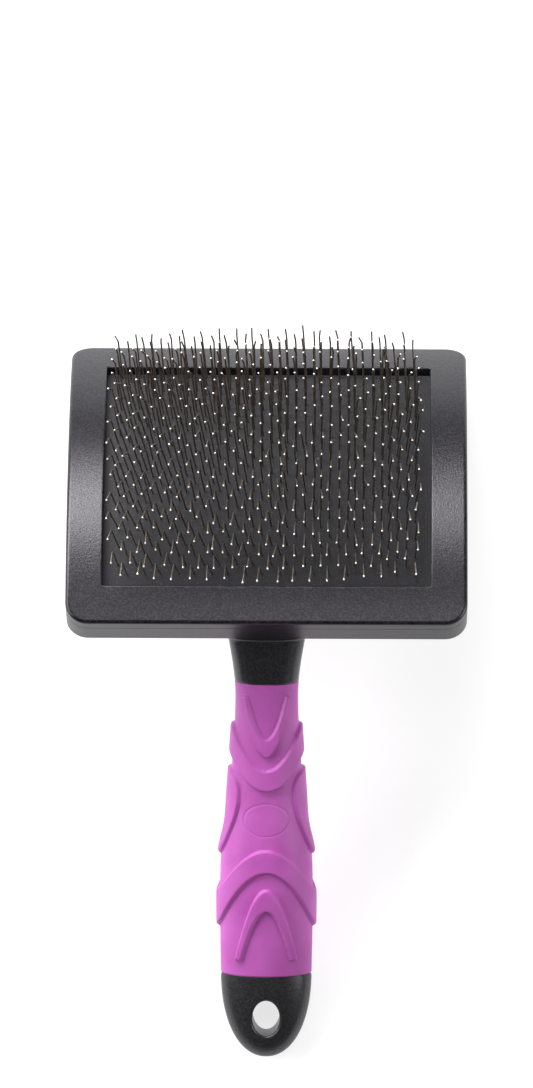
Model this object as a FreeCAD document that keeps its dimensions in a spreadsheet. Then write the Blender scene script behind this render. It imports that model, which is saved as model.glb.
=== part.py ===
import FreeCAD, Part
import math
import os

import Sketcher
from FreeCAD import Placement, Rotation, Vector

# A large curved slicker brush, lying on its back with the pins up.
# +Y runs from the tail to the far end of the head and +X across it. While the pieces are built, the
# origin lies on the axis of the head's curve. At the end every piece gets the same Placement, which
# brings the origin to the middle of the underside.

doc = FreeCAD.newDocument("slicker_brush")

# ---------------------------------------------------------------- driving dimensions (mm, degrees)

SIZES = {
    # head: a block bent round the X axis
    "head_width": 112.0,
    "face_radius": 112.5,
    "neck_edge_angle": 7.9,
    "far_edge_angle": 61.05,
    "head_depth": 16.5,
    "frame_depth": 5.0,
    "wall_draft": 4.0,
    "head_corner_radius": 6.2,
    "face_edge_bevel": 0.9,
    "back_edge_bevel": 1.2,
    "back_wall": 2.5,
    # window of the frame, and the seat behind its lip
    "window_width": 91.6,
    "neck_border_width": 10.85,
    "far_border_width": 12.78,
    "window_corner": 1.0,
    "window_bevel": 0.3,
    "lip_thickness": 2.5,
    "seat_width": 3.2,
    "seat_clearance": 0.2,
    # pin pad: rubber-faced cloth on foam
    "facing_thickness": 2.1,
    "pillow_height": 4.0,
    "foam_clearance": 0.3,
    # pins
    "wire_diameter": 0.5,
    "crown_length": 5.1,
    "row_shift": 2.45,
    "first_row_margin": 4.25,
    "last_row_margin": 2.23,
    "side_margin": 4.425,
    "pin_shaft": 13.0,
    "pin_tip": 4.8,
    "pin_bend": 52.0,
    "pin_side_lean": 3.3,
    # handle: slope of its middle line at both ends, and how it sits under the head
    "slope_at_neck": 21.6,
    "slope_at_tail": 14.6,
    "neck_drop": 0.4,
    "tail_length": 24.6,
    "tail_squareness": 2.15,
    # grip: a sleeve with raised bands on a core bar
    "core_width": 12.0,
    "core_depth": 8.0,
    "core_anchor": 4.0,
    "relief_height": 1.0,
    "band_reach": 15.0,
    "leaf_from": 39.3,
    "leaf_to": 65.0,
    "leaf_root_out": 10.0,
    "leaf_tip_out": 12.9,
    "leaf_belly_out": 3.15,
    "leaf_belly_at": 43.25,
    # hang hole
    "hole_from_grip": 12.4,
    "hole_width": 7.7,
    "hole_length": 10.6,
    "hole_mouth": 0.6,
    # raised bands round the grip: for both edges the distance from the head in the middle of the grip
    # and how far the edge has moved towards the tail at the reach of the band
    "upper_collar_from": 38.4,
    "upper_collar_from_shift": -33.2,
    "upper_collar_to": 44.5,
    "upper_collar_to_shift": -23.4,
    "lower_collar_from": 61.6,
    "lower_collar_from_shift": 17.6,
    "lower_collar_to": 68.2,
    "lower_collar_to_shift": 23.2,
    # sections of the handle: distance from the head, width, depth and squareness
    "root_at": -22.0,
    "root_width": 30.0,
    "root_depth": 7.0,
    "root_squareness": 2.6,
    "shoulder_at": -8.0,
    "shoulder_width": 25.5,
    "shoulder_depth": 13.0,
    "shoulder_squareness": 2.6,
    "neck_at": 0.0,
    "neck_width": 22.1,
    "neck_depth": 15.0,
    "neck_squareness": 2.6,
    "collar_at": 13.5,
    "collar_width": 18.1,
    "collar_depth": 15.5,
    "collar_squareness": 2.4,
    "waist_at": 23.5,
    "waist_width": 17.8,
    "waist_depth": 16.0,
    "waist_squareness": 2.3,
    "hollow_at": 35.0,
    "hollow_width": 19.1,
    "hollow_depth": 16.7,
    "hollow_squareness": 2.2,
    "finger_at": 46.5,
    "finger_width": 20.6,
    "finger_depth": 17.5,
    "finger_squareness": 2.2,
    "thumb_at": 55.5,
    "thumb_width": 21.9,
    "thumb_depth": 18.5,
    "thumb_squareness": 2.2,
    "swell_at": 64.0,
    "swell_width": 25.4,
    "swell_depth": 19.4,
    "swell_squareness": 2.2,
    "palm_at": 75.0,
    "palm_width": 26.2,
    "palm_depth": 19.6,
    "palm_squareness": 2.2,
    "wrist_at": 87.5,
    "wrist_width": 25.6,
    "wrist_depth": 17.5,
    "wrist_squareness": 2.1,
    "heel_at": 99.5,
    "heel_width": 25.7,
    "heel_depth": 14.2,
    "heel_squareness": 2.0,
}

ROWS = 28
STAPLES_IN_A_ROW = 9
BANDS = ["upper_collar", "lower_collar"]
NECK = ["root", "shoulder", "neck", "collar"]
GRIP = ["collar", "waist", "hollow", "finger", "thumb", "swell", "palm", "wrist", "heel"]

# How finely the shapes are drawn, and how near an edge lies when it is picked.
WIRE_SIDES = 3
SECTION_SIDES = 16
PILLOW_STEPS = 5
PILLOW_STATIONS = 5
TAIL_TURNS = (0, 22, 42, 58, 71, 80, 86)
NEAR = 0.1
TOUCHING = 0.001

sheet = doc.addObject("Spreadsheet::Sheet", "sizes")
for line, (alias, value) in enumerate(SIZES.items(), start=1):
    sheet.set(f"A{line}", alias)
    sheet.set(f"B{line}", str(value))
    sheet.setAlias(f"B{line}", alias)
doc.recompute()


def size(alias):
    """The value of a cell of the sheet."""
    return float(getattr(sheet, alias))


# ---------------------------------------------------------------- helpers for the sketched bodies

HEAD_MIDDLE = "(sizes.neck_edge_angle + sizes.far_edge_angle) / 2"
HEAD_SWEEP = "(sizes.far_edge_angle - sizes.neck_edge_angle)"
WINDOW_START = "(sizes.neck_edge_angle + sizes.neck_border_width / sizes.face_radius * 180 / pi)"
WINDOW_STOP = "(sizes.far_edge_angle - sizes.far_border_width / sizes.face_radius * 180 / pi)"
WINDOW_MIDDLE = f"({WINDOW_START} + {WINDOW_STOP}) / 2"
SEAT_ROOM = "(sizes.seat_width + sizes.seat_clearance)"
SEAT_SWEEP = f"({WINDOW_STOP} - {WINDOW_START} + 2 * {SEAT_ROOM} / sizes.face_radius * 180 / pi)"
SEAT_HALF = f"(sizes.window_width / 2 + {SEAT_ROOM})"
BACK_RADIUS = "(sizes.face_radius - sizes.head_depth)"
SPLIT_RADIUS = "(sizes.face_radius - sizes.frame_depth)"


def origin_plane(body, role):
    """One of the body's own origin planes."""
    return next(plane for plane in body.Origin.OriginFeatures if plane.Role == role)


def polygon_sketch(body, name, role, corners, tilt=None):
    """A closed polygon whose corners are pairs of expressions. tilt turns the sketch about its X axis."""
    sketch = body.newObject("Sketcher::SketchObject", name)
    sketch.AttachmentSupport = [(origin_plane(body, role), "")]
    sketch.MapMode = "FlatFace"
    if tilt is not None:
        sketch.AttachmentOffset = Placement(Vector(), Rotation(Vector(1, 0, 0), 0))
        sketch.setExpression("AttachmentOffset.Rotation.Axis.x", "1")
        sketch.setExpression("AttachmentOffset.Rotation.Axis.y", "0")
        sketch.setExpression("AttachmentOffset.Rotation.Axis.z", "0")
        sketch.setExpression("AttachmentOffset.Rotation.Angle", tilt)
    count = len(corners)
    for i in range(count):
        start = Vector(math.cos(2 * math.pi * i / count), math.sin(2 * math.pi * i / count), 0)
        end = Vector(math.cos(2 * math.pi * (i + 1) / count), math.sin(2 * math.pi * (i + 1) / count), 0)
        sketch.addGeometry(Part.LineSegment(start, end), False)
    for i in range(count):
        sketch.addConstraint(Sketcher.Constraint("Coincident", i, 2, (i + 1) % count, 1))
    for i, (across, up) in enumerate(corners):
        for kind, expression in (("DistanceX", across), ("DistanceY", up)):
            constraint = sketch.addConstraint(Sketcher.Constraint(kind, -1, 1, i, 1, 1.0))
            sketch.setExpression(f"Constraints[{constraint}]", expression)
    doc.recompute()
    return sketch


def turned(body, kind, name, sketch, sweep):
    """A Revolution or Groove of a sketch about its own X axis, half the sweep to each side."""
    feature = body.newObject(kind, name)
    feature.Profile = sketch
    feature.ReferenceAxis = (sketch, ["H_Axis"])
    feature.Midplane = True
    feature.setExpression("Angle", sweep)
    doc.recompute()
    return feature


def pocket_across(body, name, sketch, length):
    """A pocket along X, half its length to each side of the sketch."""
    feature = body.newObject("PartDesign::Pocket", name)
    feature.Profile = sketch
    feature.Midplane = True
    feature.setExpression("Length", length)
    doc.recompute()
    return feature


def rounded(body, name, edges, radius):
    """A fillet on the edges of the body's tip that the test picks."""
    base = body.Tip
    picked = [f"Edge{i}" for i, edge in enumerate(base.Shape.Edges, start=1) if edges(edge)]
    feature = body.newObject("PartDesign::Fillet", name)
    feature.Base = (base, picked)
    feature.setExpression("Radius", radius)
    doc.recompute()
    return feature


def bevelled(body, name, edges, width):
    """A chamfer on the edges of the body's tip that the test picks."""
    base = body.Tip
    picked = [f"Edge{i}" for i, edge in enumerate(base.Shape.Edges, start=1) if edges(edge)]
    feature = body.newObject("PartDesign::Chamfer", name)
    feature.Base = (base, picked)
    feature.setExpression("Size", width)
    doc.recompute()
    return feature


def radius_of(point):
    """Distance from the axis of the head's curve."""
    return math.hypot(point.y, point.z)


def samples(edge):
    """Five points along an edge."""
    return edge.discretize(5)


def lies_at_radius(edge, radius):
    """True if an edge stays at one distance from the axis of the head's curve."""
    return all(abs(radius_of(point) - radius) < TOUCHING for point in samples(edge))


def goes_inward(edge, half_width):
    """True if an edge runs through the thickness of the head at about that distance from the middle."""
    ends = [edge.Vertexes[0].Point, edge.Vertexes[-1].Point]
    steep = abs(radius_of(ends[0]) - radius_of(ends[1])) > NEAR
    return steep and all(abs(abs(end.x) - half_width) < NEAR for end in ends)


# ---------------------------------------------------------------- head


def head_blank(body, outer, inner):
    """The head's block between two radii, with drafted end walls and rounded corners."""
    half = "sizes.head_width / 2"
    profile = polygon_sketch(
        body,
        body.Label + "_profile",
        "XZ_Plane",
        [(f"-{half}", outer), (half, outer), (half, inner), (f"-{half}", inner)],
        f"-{HEAD_MIDDLE}",
    )
    turned(body, "PartDesign::Revolution", body.Label + "_block", profile, f"{HEAD_SWEEP} + 8")
    for end, edge, lean, side in (
        ("neck", "sizes.neck_edge_angle", "(sizes.neck_edge_angle + sizes.wall_draft)", -1),
        ("far", "sizes.far_edge_angle", "(sizes.far_edge_angle - sizes.wall_draft)", 1),
    ):
        reach = "sizes.head_depth"
        corners = []
        for along, out in ((f"(2 * {reach})", 0), (f"(-3 * {reach})", 0), (f"(-3 * {reach})", 1), (f"(2 * {reach})", 1)):
            across = f"sizes.face_radius * sin({edge}) + {along} * sin({lean})"
            up = f"sizes.face_radius * cos({edge}) + {along} * cos({lean})"
            if out:
                across += f" + {side} * 2 * {reach} * cos({lean})"
                up += f" - {side} * 2 * {reach} * sin({lean})"
            corners.append((across, up))
        trim = polygon_sketch(body, f"{body.Label}_{end}_end", "YZ_Plane", corners)
        pocket_across(body, f"{body.Label}_{end}_wall", trim, "sizes.head_width * 2")
    rounded(
        body,
        body.Label + "_corners",
        lambda edge: goes_inward(edge, size("head_width") / 2),
        "sizes.head_corner_radius",
    )


def make_bezel_frame():
    """The front frame: a rim with a lip round the window."""
    body = doc.addObject("PartDesign::Body", "bezel_frame")
    body.Label = "bezel_frame"
    head_blank(body, "sizes.face_radius", SPLIT_RADIUS)
    bevelled(body, "face_edge", lambda edge: lies_at_radius(edge, size("face_radius")), "sizes.face_edge_bevel")
    lip = "(sizes.face_radius - sizes.lip_thickness)"
    seat = polygon_sketch(
        body,
        "seat_profile",
        "XZ_Plane",
        [
            (f"-{SEAT_HALF}", lip),
            (SEAT_HALF, lip),
            (SEAT_HALF, f"{SPLIT_RADIUS} - sizes.lip_thickness"),
            (f"-{SEAT_HALF}", f"{SPLIT_RADIUS} - sizes.lip_thickness"),
        ],
        f"-{WINDOW_MIDDLE}",
    )
    turned(body, "PartDesign::Groove", "seat", seat, SEAT_SWEEP)
    inner, outer = BACK_RADIUS, "(sizes.face_radius + sizes.head_depth)"
    corners = [
        (f"{radius} * sin({angle})", f"{radius} * cos({angle})")
        for radius, angle in (
            (inner, WINDOW_START),
            (outer, WINDOW_START),
            (outer, WINDOW_STOP),
            (inner, WINDOW_STOP),
        )
    ]
    opening = polygon_sketch(body, "window_profile", "YZ_Plane", corners)
    pocket_across(body, "window", opening, "sizes.window_width")
    rounded(
        body,
        "window_corners",
        lambda edge: goes_inward(edge, size("window_width") / 2),
        "sizes.window_corner",
    )
    inside = (size("window_width") + size("seat_width")) / 2
    bevelled(
        body,
        "window_edge",
        lambda edge: lies_at_radius(edge, size("face_radius"))
        and all(abs(point.x) < inside for point in samples(edge)),
        "sizes.window_bevel",
    )
    return body


def make_head_shell():
    """The back shell of the head, still without its cavity."""
    body = doc.addObject("PartDesign::Body", "head_shell")
    body.Label = "head_shell"
    head_blank(body, SPLIT_RADIUS, BACK_RADIUS)
    back = size("face_radius") - size("head_depth")
    bevelled(body, "back_edge", lambda edge: lies_at_radius(edge, back), "sizes.back_edge_bevel")
    return body


def make_cavity():
    """The room inside the head for the foam."""
    body = doc.addObject("PartDesign::Body", "cavity")
    body.Label = "cavity"
    floor = f"({BACK_RADIUS} + sizes.back_wall)"
    profile = polygon_sketch(
        body,
        "cavity_profile",
        "XZ_Plane",
        [
            (f"-{SEAT_HALF}", "sizes.face_radius"),
            (SEAT_HALF, "sizes.face_radius"),
            (SEAT_HALF, floor),
            (f"-{SEAT_HALF}", floor),
        ],
        f"-{WINDOW_MIDDLE}",
    )
    turned(body, "PartDesign::Revolution", "cavity_block", profile, SEAT_SWEEP)
    return body


# ---------------------------------------------------------------- pin pad

WINDOW_FROM = size("neck_edge_angle") + math.degrees(size("neck_border_width") / size("face_radius"))
WINDOW_TO = size("far_edge_angle") - math.degrees(size("far_border_width") / size("face_radius"))
WINDOW_HALF_ARC = math.radians(WINDOW_TO - WINDOW_FROM) / 2 * size("face_radius")
WINDOW_HALF_WIDTH = size("window_width") / 2


def head_point(across, along, radius):
    """A point of the head: distance across, arc length from the window's middle and radius."""
    angle = math.radians((WINDOW_FROM + WINDOW_TO) / 2) + along / size("face_radius")
    return Vector(across, radius * math.sin(angle), radius * math.cos(angle))


def pillow(across, along):
    """How far the pad swells out of the window at a place."""
    sides = 1 - (across / WINDOW_HALF_WIDTH) ** 2
    ends = 1 - (along / WINDOW_HALF_ARC) ** 2
    return size("pillow_height") * max(sides, 0) * max(ends, 0)


def pad_line(along, radius):
    """Points across the pad at one place along the head: a swollen middle and two flat margins."""
    margin = WINDOW_HALF_WIDTH + size("seat_width")
    spots = [WINDOW_HALF_WIDTH * (2 * i / PILLOW_STEPS - 1) for i in range(PILLOW_STEPS + 1)]
    return [head_point(x, along, radius + pillow(x, along)) for x in [-margin] + spots + [margin]]


def layer_shape(top, bottom, flat_bottom=False):
    """One layer of the pad, as a loft along the head."""
    rim = WINDOW_HALF_ARC + size("seat_width")
    margin = WINDOW_HALF_WIDTH + size("seat_width")
    steps = [WINDOW_HALF_ARC * (2 * i / PILLOW_STATIONS - 1) for i in range(PILLOW_STATIONS + 1)]
    wires = []
    for along in [-rim] + steps + [rim]:
        if flat_bottom:
            under = [head_point(x, along, bottom) for x in (margin, -margin)]
        else:
            under = pad_line(along, bottom)[::-1]
        points = pad_line(along, top) + under
        wires.append(Part.makePolygon(points + points[:1]))
    return Part.makeLoft(wires, True, True)


def add_feature(name, shape):
    """A sub-part whose shape is worked out in code."""
    feature = doc.addObject("Part::Feature", name)
    feature.Label = name
    feature.Shape = shape
    return feature


def make_pad():
    """The facing on its foam. The foam stays a wire's thickness below the facing, for the crowns."""
    top = size("face_radius") - size("lip_thickness")
    under = top - size("facing_thickness")
    floor = size("face_radius") - size("head_depth") + size("back_wall") + size("foam_clearance")
    return [
        add_feature("rubber_facing", layer_shape(top, under)),
        add_feature("foam_cushion", layer_shape(under - size("wire_diameter"), floor, flat_bottom=True)),
    ]


# ---------------------------------------------------------------- pins


def staple_shape():
    """One U-shaped staple: crown under the pad, two legs through it and the two bent tips."""
    half = size("crown_length") / 2
    below = size("facing_thickness") + size("wire_diameter") / 2
    bend = math.radians(size("pin_bend"))
    knee = size("pin_shaft")
    tip = Vector(0, -size("pin_tip") * math.sin(bend), size("pin_tip") * math.cos(bend))
    left = Vector(-half, 0, 0)
    right = Vector(half, 0, 0)
    up = Vector(0, 0, knee)
    down = Vector(0, 0, -below)
    path = [left + up + tip, left + up, left + down, right + down, right + up, right + up + tip]
    # the section has the area of the round wire
    turn = 2 * math.pi / WIRE_SIDES
    reach = size("wire_diameter") / 2 * math.sqrt(2 * math.pi / (WIRE_SIDES * math.sin(turn)))
    side = Vector(1, 0, 0)
    other = (path[1] - path[0]).normalize().cross(side)
    ring = [
        path[0] + (side * math.cos(turn * k) + other * math.sin(turn * k)) * reach for k in range(WIRE_SIDES + 1)
    ]
    mitred = 1
    return Part.makePolygon(path).makePipeShell([Part.makePolygon(ring)], True, False, mitred)


def pad_frame(across, along):
    """Placement of a staple on the swollen pad: Z stands on the pad, X runs across."""
    step = 0.01
    top = size("face_radius") - size("lip_thickness")
    place = head_point(across, along, top + pillow(across, along))
    beside = head_point(across + step, along, top + pillow(across + step, along))
    beyond = head_point(across, along + step, top + pillow(across, along + step))
    normal = (beside - place).cross(beyond - place).normalize()
    lean = Rotation(Vector(0, 1, 0), -size("pin_side_lean"))
    stand = Rotation(beside - place, Vector(), normal, "ZXY")
    return Placement(place, stand.multiply(lean))


def make_staple_rows():
    """The pin field: rows of separate staples, every second row shifted by half a staple."""
    staple = staple_shape()
    field = size("window_width") - 2 * size("side_margin") - size("crown_length")
    staple_pitch = (field - size("row_shift")) / (STAPLES_IN_A_ROW - 1)
    first = size("first_row_margin") - WINDOW_HALF_ARC
    row_pitch = (WINDOW_HALF_ARC - size("last_row_margin") - first) / (ROWS - 1)
    rows = []
    for row in range(ROWS):
        along = first + row * row_pitch
        shift = size("row_shift") if row % 2 == 0 else 0
        staples = []
        for number in range(STAPLES_IN_A_ROW):
            across = shift - field / 2 + number * staple_pitch
            wire = staple.copy()
            wire.Placement = pad_frame(across, along)
            staples.append(wire)
        rows.append(add_feature(f"staple_row_{row + 1:02d}", Part.makeCompound(staples)))
    return rows


# ---------------------------------------------------------------- handle

HANDLE_LENGTH = size("heel_at") + size("tail_length")


def handle_slope(at):
    """Slope of the handle's middle line at a distance from the head."""
    share = at / HANDLE_LENGTH
    return math.radians(size("slope_at_neck") + (size("slope_at_tail") - size("slope_at_neck")) * share)


def handle_frame(at):
    """Placement on the middle line: X across, Y towards the head and Z out of the handle's top."""
    angle = math.radians(size("neck_edge_angle"))
    lean = angle + math.radians(size("wall_draft"))
    wall = Vector(0, -math.sin(lean), -math.cos(lean)) * size("head_depth")
    corner = Vector(0, math.sin(angle), math.cos(angle)) * size("face_radius") + wall
    slope = handle_slope(0)
    start = corner - Vector(0, -math.sin(slope), math.cos(slope)) * (size("neck_depth") / 2 + size("neck_drop"))
    chord = (slope + handle_slope(at)) / 2
    place = start + Vector(0, -math.cos(chord), -math.sin(chord)) * at
    return Placement(place, Rotation(Vector(1, 0, 0), math.degrees(handle_slope(at))))


def section(at, width, depth, squareness):
    """A superelliptic section across the handle, as a polygon with flats at its top and its sides."""
    flats = math.cos(math.pi / SECTION_SIDES) ** (2 / squareness)
    points = []
    for i in range(SECTION_SIDES + 1):
        turn = 2 * math.pi * (i + 0.5) / SECTION_SIDES
        across = math.copysign(abs(math.cos(turn)) ** (2 / squareness), math.cos(turn))
        up = math.copysign(abs(math.sin(turn)) ** (2 / squareness), math.sin(turn))
        points.append(Vector(across * width / 2 / flats, 0, up * depth / 2 / flats))
    points[-1] = points[0]
    wire = Part.makePolygon(points)
    wire.Placement = handle_frame(at)
    return wire


def handle_loft(names, growth=0.0):
    """A solid through some of the handle's sections."""
    wires = []
    for name in names:
        at, width, depth, squareness = (size(name + end) for end in ("_at", "_width", "_depth", "_squareness"))
        wires.append(section(at, width + 2 * growth, depth + 2 * growth, squareness))
    return Part.makeLoft(wires, True)


def tail_shape():
    """The rounded tail: sections that close in like half an ellipsoid."""
    wires = []
    for turn in TAIL_TURNS:
        out = math.sin(math.radians(turn)) ** (2 / size("tail_squareness"))
        scale = math.cos(math.radians(turn)) ** (2 / size("tail_squareness"))
        at = size("heel_at") + out * size("tail_length")
        wires.append(section(at, size("heel_width") * scale, size("heel_depth") * scale, size("heel_squareness")))
    return Part.makeLoft(wires, True)


def hole_shape():
    """The hang hole's cutter: an oval that opens out at both mouths."""
    share = size("hole_from_grip") / size("tail_length")
    squareness = size("tail_squareness")
    half = size("heel_depth") / 2 * (1 - share**squareness) ** (1 / squareness)
    mouth = size("hole_mouth")
    wires = []
    for height, growth in ((-half - mouth, 2 * mouth), (mouth - half, 0), (half - mouth, 0), (half + mouth, 2 * mouth)):
        points = []
        for i in range(SECTION_SIDES + 1):
            turn = 2 * math.pi * i / SECTION_SIDES
            across = (size("hole_width") / 2 + growth) * math.cos(turn)
            along = (size("hole_length") / 2 + growth) * math.sin(turn)
            points.append(Vector(across, along, height))
        points[-1] = points[0]
        wires.append(Part.makePolygon(points))
    cutter = Part.makeLoft(wires, True, True)
    cutter.Placement = handle_frame(size("heel_at") + size("hole_from_grip"))
    return cutter


def core_bar():
    """The bar inside the grip, which joins the neck to the tail."""
    bar = doc.addObject("Part::Box", "core_bar")
    bar.Label = "core_bar"
    bar.setExpression("Length", "sizes.core_width")
    bar.setExpression("Width", "sizes.heel_at - sizes.collar_at + 2 * sizes.core_anchor")
    bar.setExpression("Height", "sizes.core_depth")
    first = size("collar_at") - size("core_anchor")
    last = size("heel_at") + size("core_anchor")
    slope = math.degrees((handle_slope(first) + handle_slope(last)) / 2)
    seat = Placement(handle_frame(last).Base, Rotation(Vector(1, 0, 0), slope))
    corner = Vector(-size("core_width") / 2, 0, -size("core_depth") / 2)
    bar.Placement = seat.multiply(Placement(corner, Rotation()))
    doc.recompute()
    return bar


def fused(name, solids):
    """Document objects joined into one solid."""
    union = doc.addObject("Part::MultiFuse", name)
    union.Shapes = solids
    return union


def cut(name, base, tool):
    """One document object cut out of another."""
    piece = doc.addObject("Part::Cut", name)
    piece.Label = name
    piece.Base = base
    piece.Tool = tool
    doc.recompute()
    return piece


def make_handle_body(core):
    """Back shell of the head, neck, core bar and tail with its hang hole, in one moulding."""
    neck = add_feature("neck", handle_loft(NECK))
    tail = add_feature("tail", tail_shape())
    hole = add_feature("hang_hole", hole_shape())
    solid = fused("handle_solid", [make_head_shell(), neck, core, tail])
    return cut("handle_body", solid, fused("handle_hollows", [make_cavity(), hole]))


# ---------------------------------------------------------------- grip


def bow(middle, shift):
    """A parabola across the grip: its distance from the head in the middle, and its shift at its ends."""
    reach = size("band_reach")
    curve = Part.BezierCurve()
    curve.setPoles(
        [Vector(-reach, -middle - shift, 0), Vector(0, -middle + shift, 0), Vector(reach, -middle - shift, 0)]
    )
    return curve.toShape()


def band_outline(band):
    """The closed outline of a band that runs round the grip."""
    start, start_shift, stop, stop_shift = (
        size(band + end) for end in ("_from", "_from_shift", "_to", "_to_shift")
    )
    edges = [bow(start, start_shift), bow(stop, stop_shift)]
    for x in (-size("band_reach"), size("band_reach")):
        edges.append(Part.makeLine(Vector(x, -start - start_shift, 0), Vector(x, -stop - stop_shift, 0)))
    return Part.Wire(Part.__sortEdges__(edges))


def leaf_outline(side):
    """The closed outline of a leaf on one side of the grip, open towards the side."""
    root = Vector(side * size("leaf_root_out"), -size("leaf_from"), 0)
    belly = Vector(side * size("leaf_belly_out"), -size("leaf_belly_at"), 0)
    tip = Vector(side * size("leaf_tip_out"), -size("leaf_to"), 0)
    curve = Part.BezierCurve()
    curve.setPoles([root, belly, tip])
    far_tip = Vector(side * size("band_reach"), tip.y, 0)
    far_root = Vector(side * size("band_reach"), root.y, 0)
    lines = [Part.makeLine(tip, far_tip), Part.makeLine(far_tip, far_root), Part.makeLine(far_root, root)]
    return Part.Wire([curve.toShape()] + lines)


def make_grip_sleeve(core):
    """The soft sleeve of the grip, with its raised bands and leaves."""
    outlines = [band_outline(band) for band in BANDS] + [leaf_outline(side) for side in (-1, 1)]
    slope = math.degrees((handle_slope(0) + handle_slope(size("heel_at"))) / 2)
    plane = Placement(handle_frame(0).Base, Rotation(Vector(1, 0, 0), slope))
    tall = size("palm_depth") * 2
    prisms = []
    for outline in outlines:
        prism = Part.Face(outline).extrude(Vector(0, 0, tall))
        prism.translate(Vector(0, 0, -tall / 2))
        prism.Placement = plane.multiply(prism.Placement)
        prisms.append(prism)
    relief = handle_loft(GRIP, size("relief_height")).common(prisms)
    skin = add_feature("grip_skin", handle_loft(GRIP))
    raised = add_feature("grip_relief", relief)
    return cut("grip_sleeve", fused("grip_solid", [skin, raised]), core)


# ---------------------------------------------------------------- assembly

core = core_bar()
pieces = [make_handle_body(core), make_bezel_frame(), make_grip_sleeve(core)] + make_pad() + make_staple_rows()

everything = Part.makeCompound([piece.Shape for piece in pieces]).optimalBoundingBox(True, False)
to_base = Vector(
    -(everything.XMin + everything.XMax) / 2,
    -(everything.YMin + everything.YMax) / 2,
    -everything.ZMin,
)
for piece in pieces:
    piece.Placement = Placement(to_base, Rotation())
doc.recompute()

for item in doc.Objects:
    if {"Invalid", "Error"} & set(item.State):
        raise RuntimeError(f"{item.Label} failed: {item.State}")
os.makedirs("parts", exist_ok=True)
for piece in pieces:
    if piece.Shape.isNull() or not piece.Shape.isValid():
        raise RuntimeError(f"{piece.Label} has no valid shape")
    piece.Shape.exportStep(f"parts/{piece.Label}.step")
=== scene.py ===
import math
import random

import bpy
import numpy as np
from mathutils import Matrix, Vector


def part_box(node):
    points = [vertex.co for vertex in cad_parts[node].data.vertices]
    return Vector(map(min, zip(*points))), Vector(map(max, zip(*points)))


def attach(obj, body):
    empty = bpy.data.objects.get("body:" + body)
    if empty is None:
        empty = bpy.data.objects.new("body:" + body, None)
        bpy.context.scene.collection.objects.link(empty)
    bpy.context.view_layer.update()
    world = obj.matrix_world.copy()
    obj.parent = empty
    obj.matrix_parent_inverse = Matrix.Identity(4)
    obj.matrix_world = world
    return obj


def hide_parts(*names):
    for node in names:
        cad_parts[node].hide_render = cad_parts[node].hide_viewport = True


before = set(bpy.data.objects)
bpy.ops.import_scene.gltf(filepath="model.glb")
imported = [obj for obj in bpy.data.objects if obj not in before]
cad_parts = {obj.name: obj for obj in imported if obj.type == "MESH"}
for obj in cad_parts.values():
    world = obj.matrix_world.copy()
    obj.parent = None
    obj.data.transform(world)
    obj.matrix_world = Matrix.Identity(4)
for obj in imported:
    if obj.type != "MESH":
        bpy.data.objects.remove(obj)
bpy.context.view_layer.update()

# Sizes are in millimetres and angles in degrees. MM turns them into the frame's metres.
MM = 0.001

# head: a block bent round the X axis. Arc lengths are taken on the face, from its neck edge.
FACE_RADIUS = 112.5
NECK_EDGE_ANGLE = 7.9
FAR_EDGE_ANGLE = 61.05
HALF_WIDTH = 56.0
WALL_DRAFT = 4.0
HEAD_DEPTH = 16.5
FRAME_DEPTH = 5.0
CORNER = 6.2
FACE_ROUND = 1.0
BACK_ROUND = 1.7
SEAM_ROUND = 0.1
SEAM_GAP = 0.02
ROUND_STEPS = 6
BACK_STEPS = 8
BACK_WALL = 2.5
WALL_LOOP = 0.2  # edge loops this far from a wall's ends keep its shading flat
BACK_LOOP = 0.3
SMOOTH_BANDS = 6  # bands of the frame's faces, from the seam, with the shell's finish
LEAST_CORNER = 0.4
EDGE_BEVEL = 0.9  # of the CAD frame, which places the head's axis
FACE_LENGTH = math.radians(FAR_EDGE_ANGLE - NECK_EDGE_ANGLE) * FACE_RADIUS

# window and pad
WINDOW_HALF = 45.8
BORDER_NECK = 10.85
BORDER_FAR = 12.78
WINDOW_CORNER = 0.6
WINDOW_BEVEL = 0.35
LIP = 2.5
LIP_EDGE = 0.1
SEAT = 3.2
SEAT_CLEARANCE = 0.2
LIP_CLEARANCE = 0.05
FACING = 2.1
PILLOW = 4.0
PAD_MIDDLE = (BORDER_NECK + FACE_LENGTH - BORDER_FAR) / 2
PAD_HALF_LENGTH = (FACE_LENGTH - BORDER_FAR - BORDER_NECK) / 2

# pins
ROWS = 28
STAPLES_IN_A_ROW = 9
WIRE = 0.5
CROWN = 5.1
ROW_SHIFT = 2.45
FIRST_ROW = 4.25
LAST_ROW = 2.23
SIDE_MARGIN = 4.425
ROW_PITCH = (2 * PAD_HALF_LENGTH - FIRST_ROW - LAST_ROW) / (ROWS - 1)
STAPLE_PITCH = (2 * (WINDOW_HALF - SIDE_MARGIN) - CROWN - ROW_SHIFT) / (STAPLES_IN_A_ROW - 1)
SHAFT = 12.1
TIP = 6.4
BEND = 46.5
SIDE_LEAN = 3.3
KNEE_ROUND = 1.6
KNEE_STEPS = 5
CROWN_CORNER = 0.5  # cut off where a leg meets the crown
TAPER_FROM = 0.9  # share of the tip where the wire starts to taper
END_TAPER = 0.8  # share of the wire's radius that is left at its end
WIRE_SIDES = 6

# the bright wire ends, beads of near-white metal that carry a painted highlight: their radius, and rings by
# distance past the wire's end and share of that radius
END_BEAD = 0.28
BEAD_PROFILE = [(-0.3, 0.7), (-0.12, 0.98), (0.08, 0.98), (0.2, 0.7), (0.27, 0.25)]
BEAD_SIDES = 8

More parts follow.
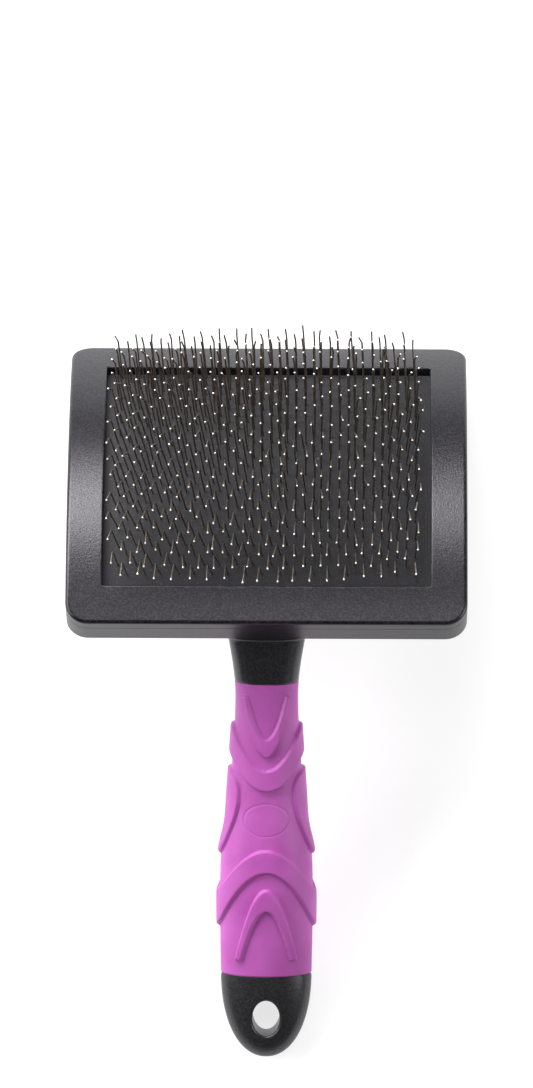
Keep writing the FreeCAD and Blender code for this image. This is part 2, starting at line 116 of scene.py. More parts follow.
# spreads of single pins: degrees of bend, lean and pitch, mm of shaft, mm a mm of sway and drift
PIN_SEED = 11
BEND_SPREAD = 3.0
SHAFT_SPREAD = 0.25
SWAY_SPREAD = 0.018
DRIFT_SPREAD = 0.05
LEAN_SPREAD = 0.9
PITCH_SPREAD = 1.1

# handle: distance from the head, width, depth and squareness of its sections
SECTIONS = [
    (-22.0, 30.0, 7.0, 2.6),
    (-8.0, 25.5, 13.0, 2.6),
    (0.0, 22.1, 15.0, 2.9),
    (13.5, 18.1, 15.5, 2.6),
    (23.5, 17.8, 16.0, 2.3),
    (35.0, 19.1, 16.7, 2.2),
    (46.5, 20.6, 17.5, 2.2),
    (55.5, 21.9, 18.5, 2.2),
    (64.0, 25.4, 19.4, 2.2),
    (75.0, 26.2, 19.6, 2.2),
    (87.5, 26.1, 17.5, 2.1),
    (99.5, 25.7, 14.2, 2.0),
]
NECK_DEPTH = SECTIONS[2][2]  # at the head
NECK_SLOPE = 21.6
TAIL_SLOPE = 14.6
NECK_DROP = 0.4
GRIP_START = 13.5
GRIP_END = 99.5
GRIP_AROUND = 280
GRIP_ALONG = 330
NECK_AROUND = 96
NECK_INSIDE = 22  # how far the neck runs on inside the head
NECK_GAP = 0.15  # between the neck's last ring and the grip
NECK_FOOT = 1.4  # length of the fillet where the neck meets the head
NECK_FOOT_SHARE = 0.7  # its height, as a share of its length
TAIL = 24.6
TAIL_SQUARENESS = 2.15
TAIL_AROUND = 128
TAIL_STEPS = 24
HOLE_AT = 12.4
HOLE_WIDTH = 7.7
HOLE_LENGTH = 10.6
HOLE_ROUND = 1.0
HOLE_STEPS = 6
RIM_HALVINGS = 40

# relief of the grip, laid out across it and along it from the head
RELIEF = 1.1
RELIEF_EDGE = 0.38
CURVE_STEPS = 24
COLLAR_REACH = 15
COLLARS = [((5.2, 38.4), (21.1, 44.5)), ((79.2, 61.6), (91.4, 68.2))]  # ends and middle of both edges
BOW_SHARE = 0.95  # height of the bows, as a share of the relief
BOWS = [  # reach, ends and middle of both edges
    ((5.1, 16.8, 29.2), (6.2, 16.8, 34.6)),
    ((8.4, 94.6, 73.1), (6.5, 94.6, 79.6)),
]
LEAF_POLES = [(10.0, 39.3), (3.15, 43.25), (12.9, 65.0)]
LEAF_REACH = 16
OVAL_AT = 53.0
OVAL_HALF_WIDTH = 6.4
OVAL_HALF_LENGTH = 4.75
OVAL_RADIUS = 5.4  # about its mean radius
OVAL_DEPTH = 0.16
OVAL_LINE = 0.18
GRIP_END_SINK = 0.25
GRIP_END_REACH = 0.35

# camera: lens in mm, angles, and its place in metres from the middle of the face's neck edge
LENS = 307.3
CAMERA_TILT = 4.6
CAMERA_ROLL = 0.27
CAMERA_SWING = 0.49
CAMERA_OFFSET = (0.022, -0.1849, 2.5744)

# floor and surround: the floor's size and the distances where its glow starts to fade and ends, in metres
FLOOR_SIZE = 6.0
FLOOR_SHADE = 0.42
FLOOR_GLOW = 0.76
GLOW_FROM = 0.17
GLOW_TO = 0.65
SURROUND = 0.06

# lamps: name, place, target, width and height in metres, and watts
LAMPS = [
    ("back_lamp", (-0.62, 1.15, 0.88), (0, 0.05, 0.03), 1.5, 0.7, 46),
    ("left_lamp", (-1.5, 0.1, 0.9), (0, 0, 0.03), 1.0, 0.8, 20),
    ("right_lamp", (1.5, -0.2, 0.9), (0, 0, 0.03), 1.0, 0.8, 15),
    ("top_lamp", (0.1, 0.72, 2.2), (0, 0, 0.03), 0.6, 0.6, 5),
]

# the axis of the head's curve, in mm, from the CAD frame's box
_, frame_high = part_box("bezel_frame")
BEVEL_ANGLE = EDGE_BEVEL / FACE_RADIUS
AXIS_Y = frame_high[1] / MM - FACE_RADIUS * math.sin(math.radians(FAR_EDGE_ANGLE) - BEVEL_ANGLE)
AXIS_Z = frame_high[2] / MM - FACE_RADIUS * math.cos(math.radians(NECK_EDGE_ANGLE) + BEVEL_ANGLE)


# ---------------------------------------------------------------- camera, light and floor


def add_camera():
    """A long lens, almost straight above the brush."""
    data = bpy.data.cameras.new("camera")
    data.lens = LENS
    data.clip_start = 0.1
    data.clip_end = 20.0
    camera = bpy.data.objects.new("camera", data)
    bpy.context.scene.collection.objects.link(camera)
    tilt = Matrix.Rotation(math.radians(CAMERA_TILT), 4, "X")
    roll = Matrix.Rotation(math.radians(CAMERA_ROLL), 4, "Z")
    swing = Matrix.Rotation(math.radians(CAMERA_SWING), 4, "Y")
    place = head_point(0, 0, 0) + Vector(CAMERA_OFFSET)
    camera.matrix_world = Matrix.Translation(place) @ swing @ tilt @ roll
    bpy.context.scene.camera = camera


def add_area(name, place, target, width, height, watts):
    """A soft rectangular lamp at a place, facing a target."""
    data = bpy.data.lights.new(name, "AREA")
    data.shape = "RECTANGLE"
    data.size = width
    data.size_y = height
    data.energy = watts
    lamp = bpy.data.objects.new(name, data)
    bpy.context.scene.collection.objects.link(lamp)
    lamp.location = place
    lamp.rotation_euler = (Vector(target) - Vector(place)).to_track_quat("-Z", "Y").to_euler()


def add_stage():
    """A pale floor that glows softly round the brush, a low white surround and soft lamps."""
    bpy.ops.mesh.primitive_plane_add(size=FLOOR_SIZE)
    plane = bpy.context.object
    plane.name = "floor"
    white, shader = new_material("floor_white", (FLOOR_SHADE,) * 3, 0.9)
    nodes, links = white.node_tree.nodes, white.node_tree.links
    place = nodes.new("ShaderNodeTexCoord")
    distance = nodes.new("ShaderNodeVectorMath")
    distance.operation = "LENGTH"
    fade = nodes.new("ShaderNodeMapRange")
    fade.interpolation_type = "SMOOTHSTEP"
    fade.inputs["From Min"].default_value = GLOW_FROM
    fade.inputs["From Max"].default_value = GLOW_TO
    fade.inputs["To Min"].default_value = FLOOR_GLOW
    fade.inputs["To Max"].default_value = 0.0
    links.new(place.outputs["Object"], distance.inputs[0])
    links.new(distance.outputs["Value"], fade.inputs["Value"])
    links.new(fade.outputs["Result"], shader.inputs["Emission Strength"])
    shader.inputs["Emission Color"].default_value = (1, 1, 1, 1)
    plane.data.materials.append(white)
    world = bpy.data.worlds.new("surround")
    world.use_nodes = True
    world.node_tree.nodes["Background"].inputs["Color"].default_value = (1, 1, 1, 1)
    world.node_tree.nodes["Background"].inputs["Strength"].default_value = SURROUND
    bpy.context.scene.world = world
    for lamp in LAMPS:
        add_area(*lamp)
    bpy.context.scene.view_settings.view_transform = "Standard"


# ---------------------------------------------------------------- places on the head and the handle


def head_point(across, along, depth):
    """A point of the head: across it, arc length from the face's neck edge, depth under the face."""
    angle = math.radians(NECK_EDGE_ANGLE) + along / FACE_RADIUS
    radius = FACE_RADIUS - depth
    return Vector((across, AXIS_Y + radius * math.sin(angle), AXIS_Z + radius * math.cos(angle))) * MM


def handle_slope(at):
    """Slope of the handle's middle line, in radians."""
    return math.radians(NECK_SLOPE + (TAIL_SLOPE - NECK_SLOPE) * at / (GRIP_END + TAIL))


def handle_point(across, at, up):
    """A point of the handle: across it, distance from the head, height over its middle line."""
    lean = math.radians(NECK_EDGE_ANGLE + WALL_DRAFT)
    edge = math.radians(NECK_EDGE_ANGLE)
    y = FACE_RADIUS * math.sin(edge) - HEAD_DEPTH * math.sin(lean) + AXIS_Y
    z = FACE_RADIUS * math.cos(edge) - HEAD_DEPTH * math.cos(lean) + AXIS_Z
    first = handle_slope(0)
    drop = NECK_DEPTH / 2 + NECK_DROP
    chord = (first + handle_slope(at)) / 2
    slope = handle_slope(at)
    y += drop * math.sin(first) - at * math.cos(chord) - up * math.sin(slope)
    z += -drop * math.cos(first) - at * math.sin(chord) + up * math.cos(slope)
    return Vector((across, y, z)) * MM


def section_at(at):
    """Width, depth and squareness of the handle at a distance from the head, smoothly between sections."""
    places = [row[0] for row in SECTIONS]
    values = []
    for column in (1, 2, 3):
        heights = [row[column] for row in SECTIONS]
        values.append(smooth_curve(places, heights, at))
    return values


def smooth_curve(places, heights, at):
    """A cubic curve through points, with the slope at each taken from its neighbours."""
    last = len(places) - 1
    i = min(max(int(np.searchsorted(places, at, side="right")) - 1, 0), last - 1)

    def slope(k):
        a, b = max(k - 1, 0), min(k + 1, last)
        return (heights[b] - heights[a]) / (places[b] - places[a])

    span = places[i + 1] - places[i]
    t = min(max((at - places[i]) / span, 0), 1)
    start, stop = slope(i) * span, slope(i + 1) * span
    return (
        heights[i] * (2 * t**3 - 3 * t**2 + 1)
        + start * (t**3 - 2 * t**2 + t)
        + heights[i + 1] * (3 * t**2 - 2 * t**3)
        + stop * (t**3 - t**2)
    )


def superellipse(turn, width, depth, squareness):
    """A point of a section, across and up, in mm."""
    power = 2 / squareness
    across = math.copysign(abs(math.cos(turn)) ** power, math.cos(turn)) * width / 2
    up = math.copysign(abs(math.sin(turn)) ** power, math.sin(turn)) * depth / 2
    return across, up


# ---------------------------------------------------------------- meshes


def add_piece(name, verts, faces, material, nodes=()):
    """A smooth-shaded mesh object of the brush."""
    mesh = bpy.data.meshes.new(name)
    mesh.from_pydata([tuple(v) for v in verts], [], faces)
    mesh.validate()
    mesh.polygons.foreach_set("use_smooth", [True] * len(mesh.polygons))
    mesh.materials.append(material)
    piece = bpy.data.objects.new(name, mesh)
    bpy.context.scene.collection.objects.link(piece)
    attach(piece, "root")
    if nodes:
        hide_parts(*nodes)
    return piece


def join_rings(rings, closed=False, start_cap=False, end_cap=False):
    """Vertices and faces through rings of equal length."""
    count = len(rings[0])
    verts = [point for ring in rings for point in ring]
    faces = []
    for k in range(len(rings) if closed else len(rings) - 1):
        a, b = k * count, (k + 1) % len(rings) * count
        for i in range(count):
            j = (i + 1) % count
            faces.append((a + i, a + j, b + j, b + i))
    if start_cap:
        faces.append(tuple(reversed(range(count))))
    if end_cap:
        last = (len(rings) - 1) * count
        faces.append(tuple(range(last, last + count)))
    return verts, faces


def outline(half, start, stop, corner):
    """A rounded rectangle in head coordinates: across, along. Every outline has as many points."""
    side_steps, end_steps, corner_steps = 44, 30, 10
    points = []

    def arc(cx, cy, first):
        for i in range(corner_steps):
            turn = math.radians(first + 90 * i / corner_steps)
            points.append((cx + corner * math.cos(turn), cy + corner * math.sin(turn)))

    def line(x0, y0, x1, y1, steps):
        for i in range(steps):
            points.append((x0 + (x1 - x0) * i / steps, y0 + (y1 - y0) * i / steps))

    line(half, start + corner, half, stop - corner, side_steps)
    arc(half - corner, stop - corner, 0)
    line(half - corner, stop, corner - half, stop, end_steps)
    arc(corner - half, stop - corner, 90)
    line(-half, stop - corner, -half, start + corner, side_steps)
    arc(corner - half, start + corner, 180)
    line(corner - half, start, half - corner, start, end_steps)
    arc(half - corner, start + corner, 270)
    return points


def wall_outline(depth, inset):
    """The head's outer wall at a depth, pulled in by an inset."""
    flare = depth * math.tan(math.radians(WALL_DRAFT)) * FACE_RADIUS / (FACE_RADIUS - depth)
    corner = max(CORNER - inset, LEAST_CORNER)
    return outline(HALF_WIDTH - inset, inset - flare, FACE_LENGTH + flare - inset, corner)


def window_outline(grow, corner=WINDOW_CORNER):
    """The window's outline, grown by some mm."""
    return outline(WINDOW_HALF + grow, BORDER_NECK - grow, FACE_LENGTH - BORDER_FAR + grow, corner)


def ring(points, depth):
    """An outline set at a depth of the head."""
    return [head_point(x, s, depth) for x, s in points]


def between(first, second, share):
    """An outline between two others."""
    return [(a[0] + (b[0] - a[0]) * share, a[1] + (b[1] - a[1]) * share) for a, b in zip(first, second)]


# ---------------------------------------------------------------- head


def make_frame(material, wall_material):
    """The front frame with its rounded edges and its window."""
    rings = [
        ring(wall_outline(FRAME_DEPTH, SEAM_ROUND), FRAME_DEPTH),
        ring(wall_outline(FRAME_DEPTH - SEAM_ROUND, 0), FRAME_DEPTH - SEAM_ROUND),
        ring(wall_outline(FRAME_DEPTH - SEAM_ROUND - WALL_LOOP, 0), FRAME_DEPTH - SEAM_ROUND - WALL_LOOP),
        ring(wall_outline(FACE_ROUND + WALL_LOOP, 0), FACE_ROUND + WALL_LOOP),
    ]
    for i in range(ROUND_STEPS + 1):
        turn = math.radians(90 * i / ROUND_STEPS)
        depth = FACE_ROUND * (1 - math.sin(turn))
        rings.append(ring(wall_outline(depth, FACE_ROUND * (1 - math.cos(turn))), depth))
    outer = wall_outline(0, FACE_ROUND)
    inner = window_outline(WINDOW_BEVEL, WINDOW_CORNER + WINDOW_BEVEL)
    for share in (0.03, 0.2, 0.4, 0.6, 0.8, 0.97, 1):
        rings.append(ring(between(outer, inner, share), 0))
    for turn in (22.5, 45, 67.5, 90):
        grow = WINDOW_BEVEL * (1 - math.sin(math.radians(turn)))
        sink = WINDOW_BEVEL * (1 - math.cos(math.radians(turn)))
        rings.append(ring(window_outline(grow, WINDOW_CORNER + grow), sink))
    rings.append(ring(window_outline(0), LIP - LIP_EDGE))
    rings.append(ring(window_outline(LIP_EDGE), LIP))
    rings.append(ring(window_outline(SEAT), LIP))
    rings.append(ring(window_outline(SEAT), FRAME_DEPTH))
    verts, faces = join_rings(rings, closed=True)
    piece = add_piece("frame_moulding", verts, faces, material, ["bezel_frame"])
    piece.data.materials.append(wall_material)
    for face in piece.data.polygons[: SMOOTH_BANDS * len(rings[0])]:
        face.material_index = 1


def make_shell(material):
    """The back shell of the head, hollow in front."""
    floor = HEAD_DEPTH - BACK_WALL
    seat = window_outline(SEAT)
    middle = [(0.0, PAD_MIDDLE)] * len(seat)
    rings = [ring(between(seat, middle, share), floor) for share in (0.995, 0.66, 0.33, 0)]
    rings.append(ring(seat, FRAME_DEPTH + SEAM_ROUND))
    rings.append(ring(wall_outline(FRAME_DEPTH, SEAM_ROUND), FRAME_DEPTH + SEAM_GAP))
    seam = FRAME_DEPTH + SEAM_ROUND
    for depth in (seam, seam + WALL_LOOP, HEAD_DEPTH - BACK_ROUND - BACK_LOOP):
        rings.append(ring(wall_outline(depth, 0), depth))
    for i in range(BACK_STEPS + 1):
        turn = math.radians(90 * i / BACK_STEPS)
        depth = HEAD_DEPTH - BACK_ROUND * (1 - math.sin(turn))
        rings.append(ring(wall_outline(depth, BACK_ROUND * (1 - math.cos(turn))), depth))
    back = wall_outline(HEAD_DEPTH, BACK_ROUND)
    for share in (0.05, 0.2, 0.4, 0.6, 0.8, 0.995):
        rings.append(ring(between(back, middle, share), HEAD_DEPTH))
    verts, faces = join_rings(rings, start_cap=True, end_cap=True)
    add_piece("back_shell", verts, faces, material, ["handle_body"])


# ---------------------------------------------------------------- pin pad


def pillow(across, along):
    """How far the pad swells out of the window."""
    sides = max(1 - (across / WINDOW_HALF) ** 2, 0)
    ends = max(1 - ((along - PAD_MIDDLE) / PAD_HALF_LENGTH) ** 2, 0)
    return PILLOW * sides * ends


def make_facing(material):
    """The rubber facing: a swollen sheet that runs out flat under the lip."""
    seat = window_outline(SEAT - SEAT_CLEARANCE)
    middle = [(0.0, PAD_MIDDLE)] * len(seat)
    shares = [0, 0.03, 0.06, 0.1, 0.16, 0.24, 0.33, 0.43, 0.54, 0.65, 0.76, 0.87, 0.995]
    top = []
    under = []
    for share in shares:
        line = between(seat, middle, share)
        lift = [(x, s, pillow(x, s)) for x, s in line]
        top.append([head_point(x, s, LIP + LIP_CLEARANCE - swell) for x, s, swell in lift])
        under.append([head_point(x, s, LIP + FACING - swell) for x, s, swell in lift])
    verts, faces = join_rings(under[::-1] + top, start_cap=True, end_cap=True)
    return add_piece("pad_facing", verts, faces, material, ["rubber_facing"])


# ---------------------------------------------------------------- pins


def pad_frame(across, along):
    """Axes of the swollen pad at a place: the point, and unit vectors across, along and out."""
    step = 0.01
    here = head_point(across, along, LIP - pillow(across, along))
    beside = head_point(across + step, along, LIP - pillow(across + step, along))
    beyond = head_point(across, along + step, LIP - pillow(across, along + step))
    side = (beside - here).normalized()
    out = side.cross(beyond - here).normalized()
    return here, side, out.cross(side), out


def staple_path(draw):
    """The wire's middle line in its own frame, in mm, with both knees rounded, and small irregularities."""
    half = CROWN / 2
    below = FACING + WIRE / 2
    legs = []
    for side in (-1, 1):
        bend = math.radians(BEND + draw.gauss(0, BEND_SPREAD))
        shaft = SHAFT + draw.gauss(0, SHAFT_SPREAD)
        sway = draw.gauss(0, SWAY_SPREAD)
        drift = draw.gauss(0, DRIFT_SPREAD)
        reach = KNEE_ROUND * math.tan(bend / 2)
        points = [Vector((side * half, 0, -below + CROWN_CORNER)), Vector((side * half, 0, 0))]
        for i in range(KNEE_STEPS + 1):
            turn = bend * i / KNEE_STEPS
            y = -KNEE_ROUND * (1 - math.cos(turn))
            z = shaft - reach + KNEE_ROUND * math.sin(turn)
            points.append(Vector((side * half + sway * z, y, z)))
        knee = points[-1]
        length = TIP - reach
        tip = Vector((drift * length, -math.sin(bend) * length, math.cos(bend) * length))
        points.append(knee + tip * TAPER_FROM)
        points.append(knee + tip)
        legs.append(points)
    turn_in = [Vector((side * (half - CROWN_CORNER), 0, -below)) for side in (-1, 1)]
    return legs[0][::-1] + turn_in + legs[1]


def tube(path, radii, sides):
    """Vertices and faces of a round wire along a path, closed at both ends."""
    rings = []
    side = Vector((1, 0, 0))
    for i, point in enumerate(path):
        before = path[max(i - 1, 0)]
        after = path[min(i + 1, len(path) - 1)]
        along = (after - before).normalized()
        side = side - along * side.dot(along)
        side.normalize()
        other = along.cross(side)
        turns = [2 * math.pi * k / sides for k in range(sides)]
        rings.append([point + (side * math.cos(turn) + other * math.sin(turn)) * radii[i] for turn in turns])
    return join_rings(rings, start_cap=True, end_cap=True)


def join_mesh(verts, faces, more, quads):
    """Adds one mesh to another, in place."""
    base = len(verts)
    verts += more
    faces += [tuple(base + i for i in face) for face in quads]


def make_pins(material, bright):
    """The pin field: one object a row, each of separate staples, and the bright rounded wire ends."""
    draw = random.Random(PIN_SEED)
    end_verts, end_faces = [], []
    field = (STAPLES_IN_A_ROW - 1) * STAPLE_PITCH + ROW_SHIFT
    for row in range(ROWS):
        verts, faces = [], []
        along = BORDER_NECK + FIRST_ROW + row * ROW_PITCH
        shift = ROW_SHIFT if row % 2 == 0 else 0
        for number in range(STAPLES_IN_A_ROW):
            across = shift - field / 2 + number * STAPLE_PITCH
            here, side, forth, out = pad_frame(across, along)
            lean = math.radians(SIDE_LEAN + draw.gauss(0, LEAN_SPREAD))
            pitch = math.radians(draw.gauss(0, PITCH_SPREAD))
            local = Matrix((side, forth, out)).transposed()
            local = local @ Matrix.Rotation(-lean, 3, "Y") @ Matrix.Rotation(pitch, 3, "X")
            path = [here + local @ (point * MM) for point in staple_path(draw)]
            radii = [WIRE / 2 * MM] * len(path)
            radii[0] = radii[-1] = END_TAPER * WIRE / 2 * MM
            join_mesh(verts, faces, *tube(path, radii, WIRE_SIDES))
            for last, before in ((path[0], path[1]), (path[-1], path[-2])):
                out_of = (last - before).normalized() * MM
                line = [last + out_of * step for step, _ in BEAD_PROFILE]
                bead = [END_BEAD * MM * share for _, share in BEAD_PROFILE]
                join_mesh(end_verts, end_faces, *tube(line, bead, BEAD_SIDES))
        name = f"staple_row_{row + 1:02d}"
        add_piece("pins_" + name[-2:], verts, faces, material, [name])
    add_piece("pin_ends", end_verts, end_faces, bright)


# ---------------------------------------------------------------- handle


def handle_rings(places, steps, grow):
    """Rings round the handle at some distances from the head, grown by what grow gives for each."""
    rings = []
    for at in places:
        width, depth, squareness = section_at(at)
        extra = grow(at)
        points = []
        for k in range(steps):
            turn = 2 * math.pi * k / steps
            across, up = superellipse(turn, width, depth, squareness)
            size = math.hypot(across, up)
            across, up = across * (1 + extra / size), up * (1 + extra / size)
            points.append(handle_point(across, at, up))
        rings.append(points)
    return rings


def make_neck(material):
    """The neck, from inside the shell to the grip, with a small fillet where it meets the wall."""

    def flare(at):
        if at < 0 or at > NECK_FOOT:
            return 0.0
        return NECK_FOOT * (1 - math.sqrt(1 - (1 - at / NECK_FOOT) ** 2)) * NECK_FOOT_SHARE

    places = list(range(-NECK_INSIDE, 0)) + [0.05, 0.15, 0.3, 0.5, 0.8, 1.1, NECK_FOOT]
    places += list(np.linspace(2, GRIP_START - NECK_GAP, 22))
    rings = handle_rings(places, NECK_AROUND, flare)
    verts, faces = join_rings(rings, start_cap=True, end_cap=True)
    add_piece("neck", verts, faces, material)


def parabola(reach, end, apex):
    """Points of a parabola across the grip: its ends at plus and minus reach, its middle at the apex."""
    line = []
    for i in range(CURVE_STEPS + 1):
        x = -reach + 2 * reach * i / CURVE_STEPS
        line.append((x, apex + (end - apex) * (x / reach) ** 2))
    return line


def curve_points(poles):
    """Points of a quadratic curve."""
    line = []
    for i in range(CURVE_STEPS + 1):
        t = i / CURVE_STEPS
        line.append(tuple((1 - t) ** 2 * a + 2 * t * (1 - t) * b + t**2 * c for a, b, c in zip(*poles)))
    return line


def relief_outlines():
    """Outlines of the grip's raised parts, across and along it. The second list is on its top only."""
    round_it = [
        parabola(COLLAR_REACH, *first) + parabola(COLLAR_REACH, *second)[::-1] for first, second in COLLARS
    ]
    root, tip = LEAF_POLES[0][1], LEAF_POLES[-1][1]
    for side in (-1, 1):
        poles = [(side * across, along) for across, along in LEAF_POLES]
        round_it.append(curve_points(poles) + [(side * LEAF_REACH, tip), (side * LEAF_REACH, root)])
    on_top = [parabola(*first) + parabola(*second)[::-1] for first, second in BOWS]
    return round_it, on_top


def depth_inside(points, polygon):
    """Signed distance of points to a polygon: positive inside."""
    corners = np.array(polygon, float)
    ends = np.roll(corners, -1, axis=0)
    nearest = np.full(len(points), 1e9)
    inside = np.zeros(len(points), bool)
    for a, b in zip(corners, ends):
        edge = b - a
        length = float(edge @ edge)
        if length < 1e-12:
            continue
        share = np.clip(((points - a) @ edge) / length, 0, 1)
        foot = a + share[:, None] * edge
        nearest = np.minimum(nearest, np.hypot(*(points - foot).T))
        crosses = (a[1] > points[:, 1]) != (b[1] > points[:, 1])
        with np.errstate(divide="ignore", invalid="ignore"):
            x = a[0] + (points[:, 1] - a[1]) / (b[1] - a[1]) * edge[0]
        inside ^= crosses & (points[:, 0] < x)
    return np.where(inside, nearest, -nearest)


def make_grip(material):
    """The soft sleeve with its raised bands, leaves and bows, and the fine oval line."""
    places = np.linspace(GRIP_START, GRIP_END, GRIP_ALONG)
    flat = []
    for at in places:
        width, depth, squareness = section_at(at)
        for k in range(GRIP_AROUND):
            turn = 2 * math.pi * k / GRIP_AROUND
            across, up = superellipse(turn, width, depth, squareness)
            flat.append((across, at, up))
    flat = np.array(flat)
    spots = flat[:, :2]
    top = flat[:, 2] > 0
    height = np.zeros(len(flat))
    round_it, on_top = relief_outlines()
    for polygon in round_it + on_top:
        inside = np.clip(depth_inside(spots, polygon) / RELIEF_EDGE, 0, 1)
        raised = RELIEF * np.sqrt(1 - (1 - inside) ** 2)
        if polygon in on_top:
            raised = np.where(top, raised * BOW_SHARE, 0)
        height = np.maximum(height, raised)
    from_middle = np.hypot(flat[:, 0] / OVAL_HALF_WIDTH, (flat[:, 1] - OVAL_AT) / OVAL_HALF_LENGTH)
    oval = np.abs(from_middle - 1) * OVAL_RADIUS
    height -= np.where(top, OVAL_DEPTH * np.exp(-((oval / OVAL_LINE) ** 2)), 0)
    ends = np.minimum(flat[:, 1] - GRIP_START, GRIP_END - flat[:, 1])
    height -= GRIP_END_SINK * np.clip(1 - ends / GRIP_END_REACH, 0, 1) ** 2
    size = np.hypot(flat[:, 0], flat[:, 2])
    grown = 1 + height / size
    rings = []
    for row in range(len(places)):
        block = range(row * GRIP_AROUND, (row + 1) * GRIP_AROUND)
        rings.append([handle_point(flat[i, 0] * grown[i], flat[i, 1], flat[i, 2] * grown[i]) for i in block])
    verts, faces = join_rings(rings, start_cap=True, end_cap=True)
    add_piece("grip_sleeve_moulding", verts, faces, material, ["grip_sleeve"])


def make_tail(material):
    """The rounded tail with its oval hang hole."""
    width, depth, _ = section_at(GRIP_END)
    half, thick = width / 2, depth / 2

    def shrink(v):
        share = min(max(v / TAIL, 0.0), 1.0)
        return (1 - share**TAIL_SQUARENESS) ** (1 / TAIL_SQUARENESS)

    def surface(x, v):
        return thick * math.sqrt(max(shrink(v) ** 2 - (x / half) ** 2, 0))

    columns = []
    for k in range(TAIL_AROUND):
        turn = 2 * math.pi * k / TAIL_AROUND
        ux, uv = math.cos(turn), math.sin(turn)
        hole = 1 / math.hypot(ux / (HOLE_WIDTH / 2), uv / (HOLE_LENGTH / 2))
        # how far the tail's rim is from the hole's middle in this direction, by halving
        rim, beyond = 0.0, 2 * TAIL
        for _ in range(RIM_HALVINGS):
            middle = (rim + beyond) / 2
            v = HOLE_AT + uv * middle
            if 0 <= v < TAIL and abs(ux) * middle < half * shrink(v):
                rim = middle
            else:
                beyond = middle
        column = []
        mouth = []
        for i in range(HOLE_STEPS + 1):
            bend = math.radians(90 * i / HOLE_STEPS)
            mouth.append((hole + HOLE_ROUND * (1 - math.sin(bend)), HOLE_ROUND * (1 - math.cos(bend))))
        start = mouth[0][0]
        for i in range(TAIL_STEPS + 1):
            share = math.sin(math.radians(90 * i / TAIL_STEPS))
            column.append((rim + (start - rim) * (1 - share), 0.0))
        column = column[::-1] + mouth[1:]
        columns.append([(ux * r, HOLE_AT + uv * r, sink) for r, sink in column])
    rings = []
    for i in range(len(columns[0])):
        rings.append([(x, v, surface(x, v) - sink) for x, v, sink in (column[i] for column in columns)])
    top = [[handle_point(x, GRIP_END + v, z) for x, v, z in points] for points in rings]
    under = [[handle_point(x, GRIP_END + v, -z) for x, v, z in points] for points in rings]
    verts, faces = join_rings(top + under[::-1], closed=True)
    add_piece("tail", verts, faces, material)


# ---------------------------------------------------------------- materials


def new_material(name, color, roughness, specular=0.5):
    """A material and its shader."""
    material = bpy.data.materials.new(name)
    material.use_nodes = True
    shader = material.node_tree.nodes["Principled BSDF"]
    shader.inputs["Base Color"].default_value = (*color, 1)
    shader.inputs["Roughness"].default_value = roughness
    shader.inputs["Specular IOR Level"].default_value = specular
    return material, shader


def noise_node(material, scale, detail, roughness=0.5):
    """A noise texture in object coordinates."""
    nodes, links = material.node_tree.nodes, material.node_tree.links
    place = nodes.new("ShaderNodeTexCoord")
    noise = nodes.new("ShaderNodeTexNoise")
    noise.inputs["Scale"].default_value = scale
    noise.inputs["Detail"].default_value = detail
    noise.inputs["Roughness"].default_value = roughness
    links.new(place.outputs["Object"], noise.inputs["Vector"])
    return noise


def ramp_node(material, source, stops):
    """A colour ramp on a value."""
    nodes, links = material.node_tree.nodes, material.node_tree.links
    ramp = nodes.new("ShaderNodeValToRGB")
    while len(ramp.color_ramp.elements) < len(stops):
        ramp.color_ramp.elements.new(0.5)
    for element, (position, color) in zip(ramp.color_ramp.elements, stops):
        element.position = position
        element.color = (*color, 1)
    links.new(source, ramp.inputs["Fac"])
    return ramp


def bump_node(material, source, strength, distance, shader):
    """A bump on the shader's normal."""
    nodes, links = material.node_tree.nodes, material.node_tree.links
    bump = nodes.new("ShaderNodeBump")
    bump.inputs["Strength"].default_value = strength
    bump.inputs["Distance"].default_value = distance
    links.new(source, bump.inputs["Height"])
    links.new(bump.outputs["Normal"], shader.inputs["Normal"])


def textured_plastic(name, dark, light, roughness, grain, strength, specular=0.5):
    """Black plastic with a spark-eroded grain."""
    material, shader = new_material(name, dark, roughness, specular)
    links = material.node_tree.links
    noise = noise_node(material, grain, 3.0, 0.6)
    ramp = ramp_node(material, noise.outputs["Fac"], [(0.42, dark), (0.64, light)])
    links.new(ramp.outputs["Color"], shader.inputs["Base Color"])
    shader.inputs["Specular Tint"].default_value = (0.97, 0.93, 1.0, 1)
    bump_node(material, noise.outputs["Fac"], strength, 0.0002, shader)
    return material


def grip_rubber():
    """Soft purple rubber, a little uneven in colour."""
    material, shader = new_material("grip_rubber", (0.45, 0.08, 0.42), 0.5, 0.4)
    links = material.node_tree.links
    noise = noise_node(material, 90, 3.0, 0.5)
    stops = [(0.3, (0.435, 0.082, 0.39)), (0.7, (0.51, 0.116, 0.465))]
    ramp = ramp_node(material, noise.outputs["Fac"], stops)
    links.new(ramp.outputs["Color"], shader.inputs["Base Color"])
    fine = noise_node(material, 1500, 2.0)
    bump_node(material, fine.outputs["Fac"], 0.12, 0.0001, shader)
    return material


def facing_rubber():
    """Dull dark rubber with dust on it."""
    dark = (0.019, 0.019, 0.022)
    material, shader = new_material("facing_rubber", dark, 0.7, 0.25)
    links = material.node_tree.links
    specks = noise_node(material, 2000, 1.0)
    ramp = ramp_node(
        material,
        specks.outputs["Fac"],
        [(0.0, dark), (0.7, (0.030, 0.030, 0.033)), (0.78, (0.12, 0.12, 0.12))],
    )
    links.new(ramp.outputs["Color"], shader.inputs["Base Color"])
    fine = noise_node(material, 700, 3.0)
    bump_node(material, fine.outputs["Fac"], 0.3, 0.0002, shader)
    return material


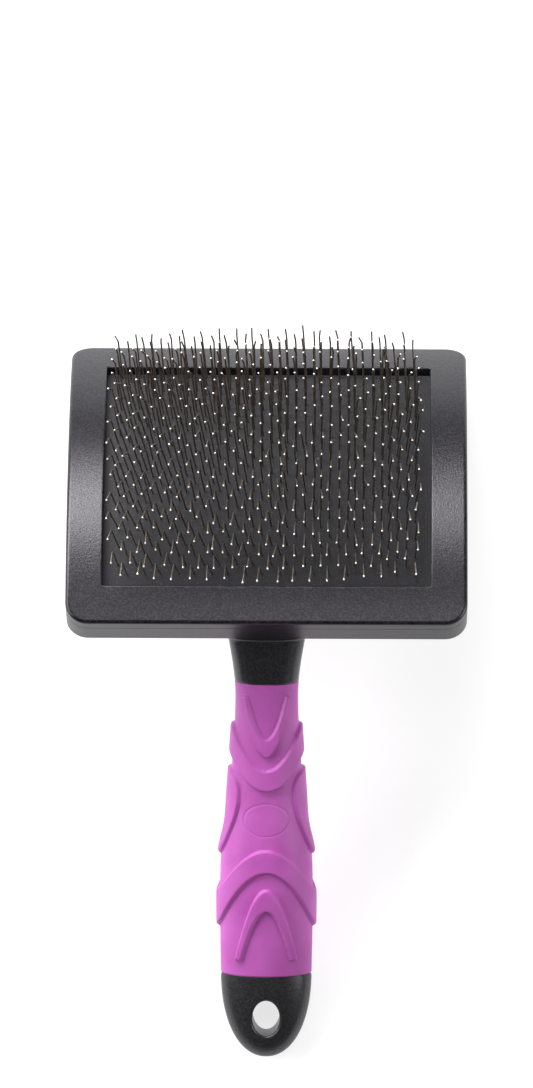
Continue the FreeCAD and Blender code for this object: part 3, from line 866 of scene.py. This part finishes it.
def foam_material():
    """Grey foam, inside the head."""
    material, shader = new_material("foam", (0.2, 0.2, 0.2), 0.9, 0.2)
    noise = noise_node(material, 1200, 2.0)
    ramp = ramp_node(material, noise.outputs["Fac"], [(0.3, (0.14, 0.14, 0.14)), (0.7, (0.24, 0.24, 0.24))])
    material.node_tree.links.new(ramp.outputs["Color"], shader.inputs["Base Color"])
    return material


def pin_steel():
    """Drawn steel wire, a little brown."""
    material, shader = new_material("pin_steel", (0.34, 0.29, 0.24), 0.33)
    shader.inputs["Metallic"].default_value = 1.0
    noise = noise_node(material, 600, 2.0)
    ramp = ramp_node(material, noise.outputs["Fac"], [(0.3, (0.24, 0.20, 0.165)), (0.7, (0.46, 0.40, 0.34))])
    material.node_tree.links.new(ramp.outputs["Color"], shader.inputs["Base Color"])
    return material


def pin_end_steel_and_glint():
    """The ground ends of the wires, brighter than their sides: bare steel, made near white as a painted
    highlight of the glints they catch.
    """
    # near-white base colour: partly bare ground steel, partly painted highlight
    material, shader = new_material("pin_end_steel_and_glint", (0.9, 0.88, 0.85), 0.45)
    shader.inputs["Metallic"].default_value = 1.0
    noise = noise_node(material, 800, 1.0)
    ramp = ramp_node(material, noise.outputs["Fac"], [(0.3, (0.82, 0.80, 0.77)), (0.7, (0.95, 0.93, 0.90))])
    material.node_tree.links.new(ramp.outputs["Color"], shader.inputs["Base Color"])
    return material


# ---------------------------------------------------------------- the brush

add_camera()
add_stage()

black = textured_plastic(
    "frame_plastic", (0.001, 0.001, 0.002), (0.024, 0.023, 0.028), roughness=0.29, grain=1900, strength=0.27
)
smooth_black = textured_plastic(
    "shell_plastic", (0.008, 0.007, 0.009), (0.020, 0.019, 0.023), roughness=0.36, grain=1500, strength=0.08,
    specular=0.25,
)
neck_black = textured_plastic(
    "neck_plastic", (0.013, 0.013, 0.014), (0.031, 0.030, 0.033), roughness=0.3, grain=1700, strength=0.12
)

make_frame(black, smooth_black)
make_shell(smooth_black)
make_neck(neck_black)
make_tail(neck_black)
make_grip(grip_rubber())
make_facing(facing_rubber())
make_pins(pin_steel(), pin_end_steel_and_glint())

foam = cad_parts["foam_cushion"]
foam.data.materials.clear()
foam.data.materials.append(foam_material())
